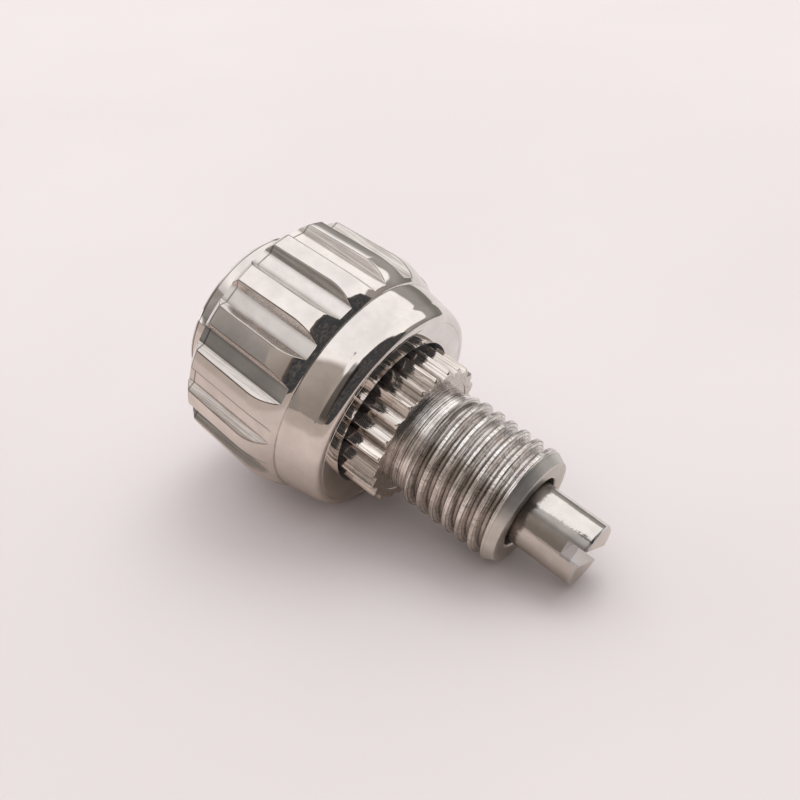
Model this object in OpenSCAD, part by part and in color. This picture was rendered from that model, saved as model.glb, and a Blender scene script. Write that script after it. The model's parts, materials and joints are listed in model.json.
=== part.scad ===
// Screw-down chronograph pusher for a watch case.
// Sizes are in millimetres. The axis of the pusher is the X axis, +X points out of the case to the
// button, and x = 0 is the seat where the toothed flange of the tube meets the case.
// Angles round the axis are counted from +Y towards +Z.

/* [Case tube] */
// radius of the plain neck between the flange and the case thread
neck_r = 1.27; // [1.1:0.01:1.4]
// length of the plain neck
neck_len = 0.5; // [0.3:0.05:1]
// crest radius of the case thread
case_thread_r = 1.41; // [1.3:0.01:1.6]
// root radius of the case thread
case_thread_root_r = 1.21; // [1.1:0.01:1.4]
// pitch of the case thread
case_thread_pitch = 0.35; // [0.25:0.05:0.5]
// x where the case thread ends and the end chamfer starts
case_thread_end = -2.69; // [-4:0.01:-2]
// x of the inner end of the tube
tube_end = -2.95; // [-4.5:0.01:-2.2]
// radius at the inner end of the tube, after the chamfer
tube_end_r = 1.26; // [1.1:0.01:1.4]
// radius of the long bore that the stem slides in
stem_bore_r = 0.87; // [0.8:0.01:1]
// x of the inner face of the web that stops the stem
web_in = -0.75; // [-1.2:0.01:-0.6]
// x of the outer face of the web that carries the spring
web_out = -0.35; // [-0.6:0.01:0]
// radius of the hole in the web
web_hole_r = 0.47; // [0.44:0.01:0.6]
// radius of the spring chamber
chamber_r = 1.0; // [0.95:0.01:1.05]
// x where the wider seat of the seals starts
seal_seat_in = 2.10; // [1.9:0.01:2.4]
// radius of the seat of the seals
seal_seat_r = 1.20; // [1.1:0.01:1.25]
// outside radius of the tube behind the flange
barrel_r = 1.45; // [1.4:0.01:1.5]
// x of the outer end of the tube
tube_out = 3.30; // [3:0.01:3.35]

/* [Toothed flange] */
// number of teeth round the flange
flange_teeth = 24; // [12:1:36]
// radius over the crests of the teeth
flange_crest_r = 1.76; // [1.6:0.01:1.8]
// radius at the roots of the teeth
flange_root_r = 1.60; // [1.4:0.01:1.7]
// width of the flange along the axis
flange_w = 1.15; // [0.5:0.05:1.3]
// chamfer on both rims of the flange
flange_chamfer = 0.05; // [0.02:0.01:0.1]
// angle of one crest round the axis, degrees
flange_phase = 11.5; // [0:0.5:15]
// radius of the relief in the seat, which clears the crests of the case thread
relief_r = 1.45; // [1.42:0.01:1.55]
// depth of the relief in the seat
relief_d = 0.02; // [0.01:0.01:0.05]

/* [Locking thread] */
// crest radius of the locking thread on the tube
lock_thread_r = 1.60; // [1.5:0.01:1.65]
// pitch of the locking thread
lock_pitch = 0.25; // [0.2:0.05:0.35]
// x where the tube's locking thread starts
lock_start = 1.30; // [1.2:0.05:1.5]
// turns of locking thread on the tube
lock_turns = 2.4; // [1:0.2:3]
// radial clearance between the two locking threads
lock_clear = 0.06; // [0.03:0.01:0.1]

/* [Locking collar] */
// x of the flat base of the collar
collar_in = 0.90; // [0.6:0.01:1.2]
// x of the back end of the collar
collar_out = 4.60; // [4:0.01:5]
// largest radius of the collar
collar_r = 2.98; // [2.7:0.01:3.2]
// outer radius of the base edge
base_edge_r = 2.51; // [2.4:0.01:2.6]
// radius of the plain ring where it meets the shoulder
ring_r = 2.71; // [2.6:0.01:2.8]
// x where the plain ring ends and the shoulder starts
ring_out = 1.96; // [1.6:0.01:2.2]
// x where the collar is widest
crown_x = 2.77; // [2.6:0.01:3]
// radius of the rounding that the shoulder follows along the axis
shoulder_round = 1.45; // [1.2:0.01:1.8]
// taper of the barrel behind the shoulder, degrees
barrel_taper = 3.4; // [0:0.1:5]
// number of flutes round the collar
flutes = 16; // [8:1:24]
// radius at the floor of the flutes, where they run out on the shoulder
flute_floor_r = 2.80; // [2.6:0.01:2.9]
// slope of the floor of the flutes towards the back end, degrees
flute_slope = 2.3; // [0:0.1:4]
// width of the floor of a flute
flute_floor_w = 0.38; // [0.2:0.01:0.5]
// width of a flute at the largest radius
flute_top_w = 0.70; // [0.5:0.01:0.9]
// angle of the middle of one flute round the axis, degrees
flute_phase = 2.7; // [0:0.1:22.5]
// chamfer at the back end of the collar
back_chamfer = 0.15; // [0.05:0.01:0.3]
// radius of the opening for the button
lip_r = 2.03; // [2:0.01:2.1]
// x of the inner face of the lip round the button
lip_in = 4.00; // [3.9:0.01:4.3]

/* [Threaded ring] */
// outside radius of the threaded ring, which is also the bore of the collar
ring_fit_r = 2.35; // [2.3:0.01:2.38]
// radius of the mouth that passes over the toothed flange
mouth_r = 1.84; // [1.8:0.01:1.9]
// x where the mouth ends
mouth_out = 2.45; // [2.2:0.01:2.6]
// x of the outer end of the threaded ring
ring_end = 3.38; // [3.2:0.01:3.45]

/* [Button and plunger] */
// radius of the button
button_r = 1.98; // [1.9:0.01:2]
// x of the edge of the button's face
button_edge = 5.33; // [5:0.01:5.6]
// rise of the domed face above its edge
button_dome = 0.12; // [0.05:0.01:0.3]
// radius of the flange that keeps the button in the collar
button_flange_r = 2.28; // [2.1:0.01:2.3]
// x of the inner side of the button's flange
button_in = 3.60; // [3.5:0.01:3.7]
// thickness of the button's flange
button_flange_w = 0.28; // [0.2:0.01:0.3]
// inside radius of the button's skirt
skirt_r = 1.62; // [1.55:0.01:1.7]
// x of the inside face of the button
button_floor = 4.30; // [4.1:0.01:4.6]
// radius of the plunger where it slides through the seals
plunger_r = 0.78; // [0.7:0.01:0.85]
// radius of the plunger's spring flange
plunger_flange_r = 0.95; // [0.85:0.01:0.97]
// x of the inner end of the plunger
plunger_in = 1.80; // [1.6:0.01:1.9]
// x of the outer side of the plunger's spring flange
plunger_flange_out = 2.02; // [1.9:0.01:2.08]
// radius of the plunger's end in the button
spigot_r = 0.60; // [0.5:0.01:0.7]
// length of the plunger's end in the button
spigot_len = 0.65; // [0.4:0.01:0.8]

/* [Stem] */
// radius of the stem's head
stem_r = 0.75; // [0.6:0.01:0.8]
// x of the slotted end of the stem
stem_end = -4.53; // [-6:0.01:-3.5]
// chamfer at the slotted end
stem_chamfer = 0.05; // [0.02:0.01:0.1]
// radius of the stem's shank
shank_r = 0.42; // [0.3:0.01:0.45]
// x of the outer end of the shank, inside the plunger
shank_out = 3.75; // [2.5:0.05:3.9]
// width of the screwdriver slot
slot_w = 0.38; // [0.2:0.01:0.5]
// depth of the screwdriver slot
slot_d = 0.43; // [0.2:0.01:0.6]
// angle of the slot round the axis, degrees
slot_angle = 32.7; // [0:0.1:180]

/* [Spring] */
// radius of the spring's wire
wire_r = 0.11; // [0.08:0.01:0.12]
// mean radius of the coils
coil_r = 0.74; // [0.65:0.01:0.8]
// number of turns
coil_turns = 5; // [3:0.5:6]

/* [Seals and washers] */
// thickness of the flat washers in the tube
washer_t = 0.10; // [0.06:0.01:0.15]
// thickness of the two seal rings in the tube
seal_t = 0.35; // [0.25:0.01:0.45]
// clearance round the plunger in the seals
seal_clear = 0.01; // [0.01:0.01:0.03]
// clearance round the plunger in the washers and the gland bush
guide_clear = 0.03; // [0.02:0.01:0.06]
// clearance along the axis between sliding faces
face_clear = 0.02; // [0.01:0.01:0.05]
// thickness of the seal under the button
cap_seal_t = 0.25; // [0.15:0.01:0.3]
// clearance between the seal under the button and the button's skirt
cap_seal_clear = 0.09; // [0.03:0.01:0.12]
// thickness of the slip ring between button and collar
slip_t = 0.08; // [0.05:0.01:0.15]
// thickness of the wave washer between button and threaded ring
wave_t = 0.16; // [0.1:0.01:0.18]

/* [Hidden] */
$fn = 96;
steel = [0.80, 0.79, 0.78];
satin = [0.68, 0.66, 0.64];
dark_rubber = [0.08, 0.08, 0.09];
white_plastic = [0.88, 0.87, 0.83];
// lower edge of the stop washer, which is also the shoulder of the stem's head
head_out = web_in - face_clear - washer_t;
inner_seal_in = seal_seat_in + washer_t;
spacer_in = inner_seal_in + seal_t;
outer_seal_in = spacer_in + washer_t;
gland_in = outer_seal_in + seal_t;
flange_out = button_in + button_flange_w;
coil_in = web_out + wire_r + 0.01;
coil_out = plunger_in - wire_r - 0.01;
coil_pitch = (coil_out - coil_in) / coil_turns;
lock_len = lock_turns * lock_pitch + lock_pitch;
lock_crest_r = barrel_r + lock_clear + 0.01;
lock_ring_root_r = lock_thread_r + lock_clear;
echo(spring_gap = coil_pitch - 2 * wire_r);

// puts a shape drawn along Z on the X axis and turns it to an angle counted from +Y
module on_axis(angle = 0) {
    rotate([0, 90, 0])
        rotate([0, 0, angle + 90])
            children();
}

// plain round ring between two x positions
module ring(x0, x1, r_out, r_in) {
    on_axis()
        translate([0, 0, x0])
            difference() {
                cylinder(h = x1 - x0, r = r_out);
                translate([0, 0, -1])
                    cylinder(h = x1 - x0 + 2, r = r_in);
            }
}

// solid of revolution from points given as [x, radius]
module turned(points) {
    on_axis()
        rotate_extrude()
            polygon([for (p = points) [p[1], p[0]]]);
}

// One unbroken screw-shaped rib. profile holds [along the axis, radius] points, counted so that the
// rib's surface faces outwards. fade is the angle over which the rib rises from its first radius.
module helix(profile, pitch, turns, x0, phase, steps, base_r, fade) {
    n = ceil(turns * steps);
    m = len(profile);
    function grow(a) = min(1, max(0.02, min(a / fade, (360 * turns - a) / fade)));
    points = [for (i = [0:n]) let (a = 360 * turns * i / n, g = grow(a)) for (p = profile)
        let (r = base_r + (p[1] - base_r) * g)
        [r * cos(a), r * sin(a), x0 + pitch * a / 360 + p[0]]];
    sides = [for (i = [0:n - 1]) for (j = [0:m - 1]) let (k = (j + 1) % m)
        each [[i * m + j, i * m + k, (i + 1) * m + k], [i * m + j, (i + 1) * m + k, (i + 1) * m + j]]];
    caps = [[for (j = [0:m - 1]) m - 1 - j], [for (j = [0:m - 1]) n * m + j]];
    on_axis(phase)
        polyhedron(points = points, faces = concat(sides, caps), convexity = 10);
}

// section of a rib with rounded crest, for a thread between two radii; its flanks run on below the
// root by the distance sink
function rib(root, crest, half_root, half_crest, sink) =
    let (d = crest > root ? 1 : -1)
    let (foot = half_root + sink * (half_root - half_crest) / (abs(crest - root) - 0.03))
    [[-foot, root - d * sink], [-half_crest, crest - d * 0.03],
        [-half_crest * 0.45, crest], [half_crest * 0.45, crest], [half_crest, crest - d * 0.03],
        [foot, root - d * sink]];

module flange_outline() {
    step = 360 / flange_teeth;
    polygon([for (i = [0:flange_teeth - 1]) for (q = [[-0.3, flange_crest_r], [0.3, flange_crest_r],
        [step / 2 - 0.6, flange_root_r], [step / 2 + 0.6, flange_root_r]])
        q[1] * [cos(i * step + q[0]), sin(i * step + q[0])]]);
}

module toothed_flange() {
    c = flange_chamfer;
    intersection() {
        on_axis(flange_phase)
            linear_extrude(height = flange_w)
                flange_outline();
        turned([[relief_d, 0], [relief_d, relief_r], [0, relief_r], [0, flange_crest_r - c],
            [c, flange_crest_r + 0.001], [flange_w - c, flange_crest_r + 0.001],
            [flange_w, flange_crest_r - c], [flange_w, 0]]);
    }
}

// tube with the case thread, the toothed flange and the locking thread, fixed in the case
module case_tube() {
    color(satin)
        difference() {
            union() {
                turned([[tube_end, 0], [tube_end, tube_end_r], [case_thread_end, case_thread_r - 0.02],
                    [case_thread_end + 0.06, case_thread_root_r], [-neck_len - 0.03, case_thread_root_r],
                    [-neck_len, neck_r], [flange_w / 2, neck_r], [flange_w / 2, 0]]);
                helix(rib(case_thread_root_r, case_thread_r, 0.145, 0.045, 0.05), case_thread_pitch,
                    (case_thread_end + 0.03 + neck_len) / -case_thread_pitch, case_thread_end + 0.03,
                    66.7 + 360 * (case_thread_end + 0.03 + 0.549) / case_thread_pitch, 30,
                    case_thread_root_r - 0.02, 50);
                toothed_flange();
                turned([[0.5, 0], [0.5, barrel_r], [tube_out - 0.05, barrel_r],
                    [tube_out, barrel_r - 0.05], [tube_out, 0]]);
                helix(rib(barrel_r, lock_thread_r, 0.10, 0.035, 0.04), lock_pitch, lock_turns,
                    lock_start + lock_pitch / 2, 0, 24, barrel_r - 0.02, 50);
            }
            on_axis()
                translate([0, 0, tube_end - 1])
                    cylinder(h = web_in - tube_end + 1, r = stem_bore_r);
            on_axis()
                translate([0, 0, web_in - 0.1])
                    cylinder(h = web_out - web_in + 0.2, r = web_hole_r);
            on_axis()
                translate([0, 0, web_out])
                    cylinder(h = tube_out, r = chamber_r);
            on_axis()
                translate([0, 0, seal_seat_in])
                    cylinder(h = tube_out, r = seal_seat_r);
        }
}

// washer that carries the seals on the step in the tube
module seal_washer() {
    color(satin)
        ring(seal_seat_in, inner_seal_in, seal_seat_r, plunger_r + guide_clear);
}

// ring with rounded inner and outer sides, as a pressed seal is
module seal(x0) {
    b = 0.08;
    ri = plunger_r + seal_clear;
    turned([[x0, ri + b], [x0 + b, ri], [x0 + seal_t - b, ri], [x0 + seal_t, ri + b],
        [x0 + seal_t, seal_seat_r - b], [x0 + seal_t - b, seal_seat_r], [x0 + b, seal_seat_r],
        [x0, seal_seat_r - b]]);
}

// first of the two rubber seals round the plunger
module inner_seal() {
    color(dark_rubber)
        seal(inner_seal_in);
}

// flat ring that keeps the two seals apart
module seal_spacer() {
    color(white_plastic)
        ring(spacer_in, outer_seal_in, seal_seat_r, plunger_r + guide_clear);
}

// second of the two rubber seals round the plunger
module outer_seal() {
    color(dark_rubber)
        seal(outer_seal_in);
}

// bush pressed into the outer end of the tube, which holds the seals in
module gland_bush() {
    color(steel)
        ring(gland_in, tube_out, seal_seat_r, plunger_r + guide_clear);
}

// round wire wound into a compression spring between the web and the plunger
module return_spring() {
    color(steel)
        helix([for (j = [0:5]) [-wire_r * cos(60 * j), coil_r + wire_r * sin(60 * j)]],
            coil_pitch, coil_turns, coil_in, 0, 16, coil_r, 0.001);
}

// washer on the stem's shoulder that meets the web when the button is out
module stop_washer() {
    color(white_plastic)
        ring(head_out, head_out + washer_t, stem_r, shank_r);
}

// slotted head and shank, screwed into the plunger from inside the case
module stem() {
    color(steel)
        difference() {
            turned([[stem_end, 0], [stem_end, stem_r - stem_chamfer], [stem_end + stem_chamfer, stem_r],
                [head_out, stem_r], [head_out, shank_r], [shank_out, shank_r], [shank_out, 0]]);
            on_axis(slot_angle)
                translate([-stem_r - 1, -slot_w / 2, stem_end - 1])
                    cube([2 * stem_r + 2, slot_w, slot_d + 1]);
        }
}

// plunger that carries the button and is pushed out by the spring
module plunger() {
    color(steel)
        difference() {
            turned([[plunger_in, 0], [plunger_in, plunger_flange_r], [plunger_flange_out, plunger_flange_r],
                [plunger_flange_out, plunger_r], [button_floor, plunger_r], [button_floor, spigot_r],
                [button_floor + spigot_len, spigot_r], [button_floor + spigot_len, 0]]);
            on_axis()
                translate([0, 0, plunger_in - 1])
                    cylinder(h = shank_out - plunger_in + 1, r = shank_r);
        }
}

// rubber ring under the button that closes on the tube when the collar is screwed home
module cap_seal() {
    color(dark_rubber)
        ring(button_floor - cap_seal_t, button_floor, skirt_r - cap_seal_clear, plunger_r + guide_clear);
}

// points of the domed face, from the edge to the axis
function dome(n) = [for (i = [0:n]) let (t = i / n)
    [button_edge + button_dome * (1 - pow(1 - t, 2)), (button_r - 0.06) * (1 - t)]];

// button with its domed face and the flange that keeps it inside the collar
module button_cap() {
    color(steel)
        difference() {
            turned(concat([[button_in, 0], [button_in, button_flange_r], [flange_out, button_flange_r],
                [flange_out, button_r], [button_edge - 0.08, button_r],
                [button_edge - 0.02, button_r - 0.02]], dome(8)));
            on_axis()
                translate([0, 0, button_in - 1])
                    cylinder(h = button_floor - button_in + 1, r = skirt_r);
            on_axis()
                translate([0, 0, button_floor - 0.5])
                    cylinder(h = spigot_len + 0.5, r = spigot_r);
        }
}

// low-friction ring between the button's flange and the collar's lip
module slip_ring() {
    color(white_plastic)
        ring(flange_out, flange_out + slip_t, button_flange_r, lip_r);
}

// thin springy washer between the threaded ring and the button's flange
module wave_washer() {
    color(satin)
        ring(ring_end, ring_end + wave_t, button_flange_r, skirt_r + 0.08);
}

// ring pressed into the collar, with the mouth and the inside locking thread
module thread_ring() {
    color(steel)
        union() {
            turned([[collar_in, mouth_r + 0.03], [collar_in, ring_fit_r], [ring_end, ring_fit_r],
                [ring_end, lock_ring_root_r], [mouth_out + 0.1, lock_ring_root_r], [mouth_out, mouth_r],
                [collar_in + 0.03, mouth_r]]);
            helix([for (p = rib(lock_ring_root_r, lock_crest_r, 0.10, 0.035, 0.04)) [-p[0], p[1]]],
                lock_pitch, 1.6, mouth_out + 0.15 + lock_pitch / 2, 7, 24,
                lock_ring_root_r + 0.05, 50);
        }
}

// radius of the collar at the back end of its barrel, before the chamfer
function barrel_end_r() = collar_r - shoulder_round * (1 - cos(barrel_taper))
    - tan(barrel_taper) * (collar_out - back_chamfer - crown_x - shoulder_round * sin(barrel_taper));

// base edge of the collar, from the flat base to the plain ring
function base_points() = [[collar_in, base_edge_r - 0.10], [collar_in + 0.03, base_edge_r - 0.02],
    [collar_in + 0.08, base_edge_r + 0.02]];

// plain ring in two gentle curves that meet at a faint edge
function ring_points() = let (x1 = collar_in + 0.42, r1 = base_edge_r + 0.105)
    concat([for (i = [0:4]) [x1 - 0.25 * (1 - i / 4), r1 - 0.055 * (1 - sin(22.5 * i))]],
        [for (i = [1:5]) [x1 + (ring_out - x1) * i / 5, r1 + (ring_r - r1) * sin(18 * i)]]);

// shoulder, an arc that ends where it runs tangent into the tapered barrel
function shoulder_points() = let (first = asin((crown_x - ring_out - 0.01) / shoulder_round))
    [for (i = [0:12]) let (a = first - (first + barrel_taper) * i / 12)
        [crown_x - shoulder_round * sin(a), collar_r - shoulder_round * (1 - cos(a))]];

// outer profile of the collar, from the base edge to the back end
function collar_profile() = concat(base_points(), ring_points(), shoulder_points(),
    [[collar_out - back_chamfer, barrel_end_r()], [collar_out, barrel_end_r() - back_chamfer]]);

// one straight flute, drawn along the axis from the shoulder through the back end
module flute(angle) {
    h = collar_r - flute_floor_r + 0.25;
    k = (flute_top_w - flute_floor_w) / 2 / (collar_r - flute_floor_r);
    on_axis(angle)
        translate([flute_floor_r, 0, ring_out + 0.11])
            rotate([0, -flute_slope, 0])
                translate([0, 0, -0.25])
                    linear_extrude(height = collar_out - ring_out + 0.5)
                        polygon([[0, -flute_floor_w / 2], [0, flute_floor_w / 2],
                            [h, flute_floor_w / 2 + k * h], [h, -flute_floor_w / 2 - k * h]]);
}

// fluted collar that the fingers turn, with the opening for the button
module locking_collar() {
    color(steel)
        difference() {
            turned(concat([[collar_in, 0]], collar_profile(), [[collar_out, 0]]));
            for (i = [0:flutes - 1])
                flute(flute_phase + i * 360 / flutes);
            on_axis()
                translate([0, 0, collar_in - 1])
                    cylinder(h = lip_in - collar_in + 1, r = ring_fit_r);
            on_axis()
                translate([0, 0, collar_in])
                    cylinder(h = collar_out, r = lip_r);
        }
}

case_tube();
seal_washer();
inner_seal();
seal_spacer();
outer_seal();
gland_bush();
return_spring();
stop_washer();
stem();
plunger();
cap_seal();
button_cap();
slip_ring();
wave_washer();
thread_ring();
locking_collar();
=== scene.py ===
import json
import math

import bmesh
import bpy
import numpy as np
from mathutils import Matrix, Vector


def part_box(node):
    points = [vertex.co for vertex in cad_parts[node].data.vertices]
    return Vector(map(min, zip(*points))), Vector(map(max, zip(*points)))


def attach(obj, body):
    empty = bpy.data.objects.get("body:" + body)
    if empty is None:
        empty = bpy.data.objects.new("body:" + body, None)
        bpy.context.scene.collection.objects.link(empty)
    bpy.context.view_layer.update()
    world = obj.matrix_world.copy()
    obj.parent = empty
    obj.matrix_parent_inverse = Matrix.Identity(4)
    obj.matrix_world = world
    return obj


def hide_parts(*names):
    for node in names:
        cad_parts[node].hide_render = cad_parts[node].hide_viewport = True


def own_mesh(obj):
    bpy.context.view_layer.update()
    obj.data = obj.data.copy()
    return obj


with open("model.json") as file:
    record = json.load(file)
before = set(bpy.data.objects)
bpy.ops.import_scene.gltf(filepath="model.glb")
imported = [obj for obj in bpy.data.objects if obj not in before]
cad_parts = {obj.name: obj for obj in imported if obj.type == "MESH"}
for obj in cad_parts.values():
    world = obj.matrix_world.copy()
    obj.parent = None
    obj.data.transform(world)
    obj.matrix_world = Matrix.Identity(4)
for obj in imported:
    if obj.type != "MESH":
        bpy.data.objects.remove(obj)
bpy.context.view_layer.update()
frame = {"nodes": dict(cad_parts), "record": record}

# Units: sizes are named in millimetres and scaled to metres when a mesh is made
MM = 0.001
MICRON = 1e-6
TO_DEGREES = 180 / math.pi
scene = bpy.context.scene

# Directions in the row frame: +X runs along the pusher to its button
LEAN = math.radians(16.6)          # the pusher leans on its thread, so the floor is tilted
UP = Vector((math.sin(LEAN), 0.0, math.cos(LEAN)))
CAM_POS = Vector((-8.4901, 17.0396, 18.5507)) * MM
CAM_RIGHT = Vector((-0.76011, -0.62037, 0.19333))
CAM_UP = Vector((0.54695, -0.45020, 0.70580))
CAM_BACK = Vector((-0.35082, 0.64223, 0.68152))
CAM_LENS, SENSOR_W = 53.95, 36.0
FRONT = (CAM_BACK - CAM_BACK.dot(UP) * UP).normalized()
RIGHT = UP.cross(FRONT).normalized()

# Mesh helpers
MERGE = 2e-7                       # points closer than this, in metres, become one


def grid_mesh(name, rows, close=False):
    """Mesh from rings of points in millimetres. close joins the last ring to the first."""
    rows = [np.asarray(row, float) for row in rows]
    count = len(rows[0])
    faces = []
    for i in range(len(rows) if close else len(rows) - 1):
        here, there = i * count, ((i + 1) % len(rows)) * count
        for j in range(count):
            k = (j + 1) % count
            faces.append((here + j, here + k, there + k, there + j))
    mesh = bpy.data.meshes.new(name)
    mesh.from_pydata([tuple(p) for p in np.concatenate(rows) * MM], [], faces)
    mesh.validate()
    return mesh


def finish_mesh(mesh, name, body, sharp):
    """Object that rides on a body: doubles merged, normals outwards, smooth but for its sharp edges."""
    bm = bmesh.new()
    bm.from_mesh(mesh)
    bmesh.ops.remove_doubles(bm, verts=bm.verts, dist=MERGE)
    bmesh.ops.dissolve_degenerate(bm, edges=bm.edges, dist=MERGE * 0.2)
    bmesh.ops.recalc_face_normals(bm, faces=bm.faces)
    bm.to_mesh(mesh)
    bm.free()
    for face in mesh.polygons:
        face.use_smooth = True
    mesh.set_sharp_from_angle(angle=math.radians(sharp))
    ob = bpy.data.objects.new(name, mesh)
    scene.collection.objects.link(ob)
    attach(ob, body)
    return ob


def angles(sides):
    """Even angles once round the axis."""
    return np.linspace(0, 2 * math.pi, sides, endpoint=False)


def circle_row(x, r, ang):
    """Ring of points at x with radius r (a number or an array) at the angles ang, from +Y towards +Z."""
    r = np.broadcast_to(np.asarray(r, float), ang.shape)
    x = np.broadcast_to(np.asarray(x, float), ang.shape)
    return np.stack([x, r * np.cos(ang), r * np.sin(ang)], axis=1)


def ring_solid(name, outline, body, sides=192):
    """Closed solid turned from a loop of (x, radius) points."""
    rows = [circle_row(x, r, angles(sides)) for x, r in outline]
    return finish_mesh(grid_mesh(name, rows, close=True), name, body, sharp=30.0)


def curve(start, corner, end, t):
    """Point at t, from 0 to 1, of a curve from start to end that is drawn towards corner."""
    return (1 - t) ** 2 * start + 2 * t * (1 - t) * corner + t * t * end


def towards(point, other, distance, share):
    """Point at a distance from point towards other, but at most a share of the way."""
    length = np.linalg.norm(other - point)
    return point + (other - point) / length * min(distance, share * length)


# The collar
FLUTES = 16
FLUTE_PHASE = math.radians(2.7)
COLLAR_R, COLLAR_IN, COLLAR_OUT, BACK_CHAMFER = 2.98, 0.90, 4.60, 0.15
FLOOR_R, FLOOR_SLOPE = 2.80, math.radians(2.3)
FLOOR_HALF, TOP_HALF = 0.19, 0.35  # half the width of a flute, at its floor and at its top
WALL_SLOPE = (TOP_HALF - FLOOR_HALF) / (COLLAR_R - FLOOR_R)
BASE_R, RING_R, RING_X = 2.51, 2.71, 1.96
CROWN_X, SHOULDER_R, TAPER = 2.77, 1.45, math.radians(3.4)
RIDGE_ROUND = 0.022                # rounding along the ridges between the flutes
LIP_R, LIP_X, COLLAR_BORE = 2.03, 4.00, 2.35
KNEE_X, KNEE_R = COLLAR_IN + 0.42, BASE_R + 0.105      # where the swelling base meets the ring
FLOOR_STEPS, WALL_STEPS, ROUND_STEPS, RIDGE_STEPS = 4, 4, 4, 7
ARC_STEPS, BARREL_STEPS, EDGE_STEPS, CHAMFER_STEPS = 60, 14, 4, 7


def floor_at(x):
    """Radius of the flutes' floor, which slopes towards the back end."""
    return FLOOR_R - math.tan(FLOOR_SLOPE) * (x - RING_X - 0.11)


def barrel_at(x):
    """Radius of the shoulder and the tapered barrel, without the flutes."""
    taper_x = CROWN_X + SHOULDER_R * math.sin(TAPER)
    if x < taper_x:
        return COLLAR_R - SHOULDER_R * (1 - math.cos(math.asin((CROWN_X - x) / SHOULDER_R)))
    return COLLAR_R - SHOULDER_R * (1 - math.cos(TAPER)) - math.tan(TAPER) * (x - taper_x)


def swell(start, end, steps):
    """Points from start to end whose radius rises fast at first and levels off, as a quarter wave does."""
    (x0, r0), (x1, r1) = start, end
    shares = [i / steps for i in range(steps + 1)]
    return [(x0 + (x1 - x0) * t, r0 + (r1 - r0) * math.sin(math.pi / 2 * t)) for t in shares]


def outer_profile():
    """(x, radius) along the collar's outside, from the base edge to the back end."""
    base_edge = ((0.0, -0.10), (0.012, -0.055), (0.03, -0.02), (0.055, 0.002), (0.08, 0.02))
    foot_groove = ((-0.012, -0.001), (-0.004, -0.006), (0.002, -0.008), (0.008, 0.008))
    p = [(COLLAR_IN + dx, BASE_R + dr) for dx, dr in base_edge]
    p += swell((COLLAR_IN + 0.12, BASE_R + 0.037), (KNEE_X, KNEE_R), 12)
    p += swell((KNEE_X, KNEE_R), (RING_X, RING_R), 14)[1:-1]
    p += [(RING_X + dx, RING_R + dr) for dx, dr in foot_groove]
    p.append((RING_X + 0.014, barrel_at(RING_X + 0.02) - 0.006))
    # shoulder arc over the crown
    first = math.asin((CROWN_X - RING_X - 0.02) / SHOULDER_R)
    for i in range(ARC_STEPS + 1):
        a = first - (first + TAPER) * i / ARC_STEPS
        p.append((CROWN_X - SHOULDER_R * math.sin(a), COLLAR_R - SHOULDER_R * (1 - math.cos(a))))
    # tapered barrel, then a rounded edge into the back chamfer
    edge_x = COLLAR_OUT - BACK_CHAMFER
    taper_x, round_x = p[-1][0], edge_x - 0.03
    for i in range(1, BARREL_STEPS + 1):
        x = taper_x + (round_x - taper_x) * i / BARREL_STEPS
        p.append((x, barrel_at(x)))
    corner = np.array((edge_x, barrel_at(edge_x)))
    before, after = np.array((round_x, barrel_at(round_x))), corner + np.array((0.02, -0.02))
    p += [tuple(curve(before, corner, after, i / EDGE_STEPS)) for i in range(1, EDGE_STEPS + 1)]
    end_r = barrel_at(edge_x) - BACK_CHAMFER
    chamfer_end = np.array((COLLAR_OUT - 0.012, end_r + 0.012))
    p += [tuple(after + (chamfer_end - after) * i / CHAMFER_STEPS) for i in range(1, CHAMFER_STEPS + 1)]
    return p + [(COLLAR_OUT - 0.004, end_r + 0.004), (COLLAR_OUT, end_r - 0.006)]


def polar(point):
    """(angle, radius) of a flat point."""
    return math.atan2(point[1], point[0]), math.hypot(*point)


def flute_outline(outer_r, floor_r):
    """(angle, radius) pairs over one flute's pitch, where the collar and the floor have these radii."""
    half_pitch = math.pi / FLUTES
    corner_r = math.hypot(floor_r, FLOOR_HALF)
    pts = []
    for i in range(FLOOR_STEPS):
        turn, r = polar((floor_r, FLOOR_HALF * i / FLOOR_STEPS))
        pts.append((turn, min(r, outer_r)))
    if outer_r > corner_r + 1e-4:
        # the wall rises by s from the floor to the outside; s is the root of a s^2 + b s + c
        a = 1 + WALL_SLOPE ** 2
        b = 2 * (floor_r + WALL_SLOPE * FLOOR_HALF)
        c = corner_r ** 2 - outer_r ** 2
        s = (-b + math.sqrt(b * b - 4 * a * c)) / (2 * a)
        low = np.array((floor_r, FLOOR_HALF))
        top = low + s * np.array((1.0, WALL_SLOPE))
        high = towards(top, low, RIDGE_ROUND, 0.4)
    else:
        # the flute has run out: its floor lies outside the collar here
        turn = math.atan2(FLOOR_HALF, floor_r)
        low = top = high = np.array((outer_r * math.cos(turn), outer_r * math.sin(turn)))
    pts += [polar(low + (high - low) * i / WALL_STEPS) for i in range(WALL_STEPS)]
    ridge_turn = polar(top)[0] + np.linalg.norm(top - high) / outer_r
    ridge = np.array((outer_r * math.cos(ridge_turn), outer_r * math.sin(ridge_turn)))
    pts += [polar(curve(high, top, ridge, i / ROUND_STEPS)) for i in range(ROUND_STEPS)]
    pts += [(turn, outer_r) for turn in np.linspace(ridge_turn, half_pitch, RIDGE_STEPS + 1)]
    # the other side is the mirror image, without the middles of the floor and of the ridge
    return [(-turn, r) for turn, r in pts[-2:0:-1]] + pts


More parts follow.
